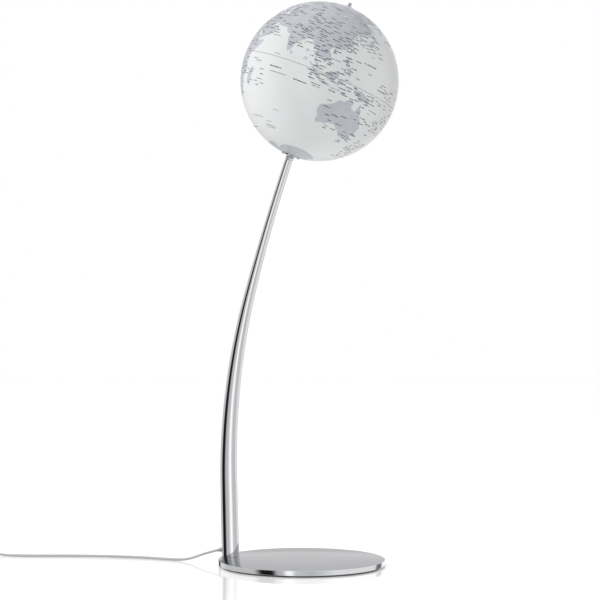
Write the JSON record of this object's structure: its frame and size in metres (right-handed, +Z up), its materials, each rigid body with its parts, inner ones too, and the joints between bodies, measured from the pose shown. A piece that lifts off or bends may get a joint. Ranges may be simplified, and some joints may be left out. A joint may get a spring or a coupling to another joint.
{
  "type": "illuminated floor globe",
  "caption": "Floor-standing illuminated globe, tilted and free to turn, on a tapered chromed bow arm and a round brushed-steel base, with a mains lead, rocker switch and two-pin plug.",
  "frame": {"origin": "centre of the base pad's underside, on the floor", "axes": "+Z up; +X from the arm's foot towards the globe, so the arm bends in the XZ plane; +Y completes the right hand"},
  "size_m": [0.994, 0.313, 1.0619],
  "materials": {
    "brushed_steel": "turned and brushed on top, polished rim",
    "chrome": "mirror-polished chrome plate",
    "screw_steel": "plain zinc-plated steel",
    "brass": "plain brass",
    "pad_felt": "black pressed felt",
    "globe_print": "satin silver-white printed shell",
    "white_nylon": "moulded",
    "grey_sheath": "smooth extruded sheath",
    "grey_plastic": "moulded, fine satin",
    "rocker_grey": "moulded, glossy",
    "holder_white": "moulded",
    "bulb_diffuser": "opal diffuser"
  },
  "bodies": {
    "stand": {"base_plate": "brushed_steel", "bow_arm": "chrome", "neck_boss": "chrome", "neck_collar": "chrome", "finial_nut": "chrome", "axle_rod": "chrome", "stem_tube": "chrome", "harp_wire": "chrome", "harp_hub": "chrome", "harp_saddle": "chrome", "saddle_nut": "chrome", "foot_screw_inner": "screw_steel", "foot_screw_outer": "screw_steel", "arm_foot_insert": "screw_steel", "switch_pin": "screw_steel", "lamp_contact": "brass", "bulb_screw_cap": "brass", "plug_pin_1": "brass", "plug_pin_2": "brass", "base_pad": "pad_felt", "cord_tie": "pad_felt", "thrust_washer": "white_nylon", "inner_lead": "grey_sheath", "strain_relief": "grey_sheath", "mains_lead_switch": "grey_sheath", "mains_lead_coil": "grey_sheath", "mains_lead_plug": "grey_sheath", "mains_coil": "grey_sheath", "switch_base": "grey_plastic", "switch_cover": "grey_plastic", "plug_body": "grey_plastic", "lamp_holder": "holder_white", "shade_ring": "holder_white", "bulb_collar": "holder_white", "bulb_dome": "bulb_diffuser"},
    "globe": {"north_hemisphere": "globe_print", "south_hemisphere": "globe_print", "equator_band": "white_nylon", "lower_bush": "white_nylon", "upper_bush": "white_nylon", "lower_flange": "chrome", "north_washer": "chrome"},
    "rocker": {"switch_rocker": "rocker_grey"}
  },
  "joints": [
    {"name": "globe_spin", "type": "hinge", "parent": "stand", "child": "globe", "pos_m": [0.03469, 0, 0.91195], "axis": [0.3746, 0, 0.9272], "continuous": true},
    {"name": "rocker_flip", "type": "hinge", "parent": "stand", "child": "rocker", "pos_m": [-0.662, 0.007, 0.0118], "axis": [0, -1, 0], "range_deg": [0, 14]}
  ]
}
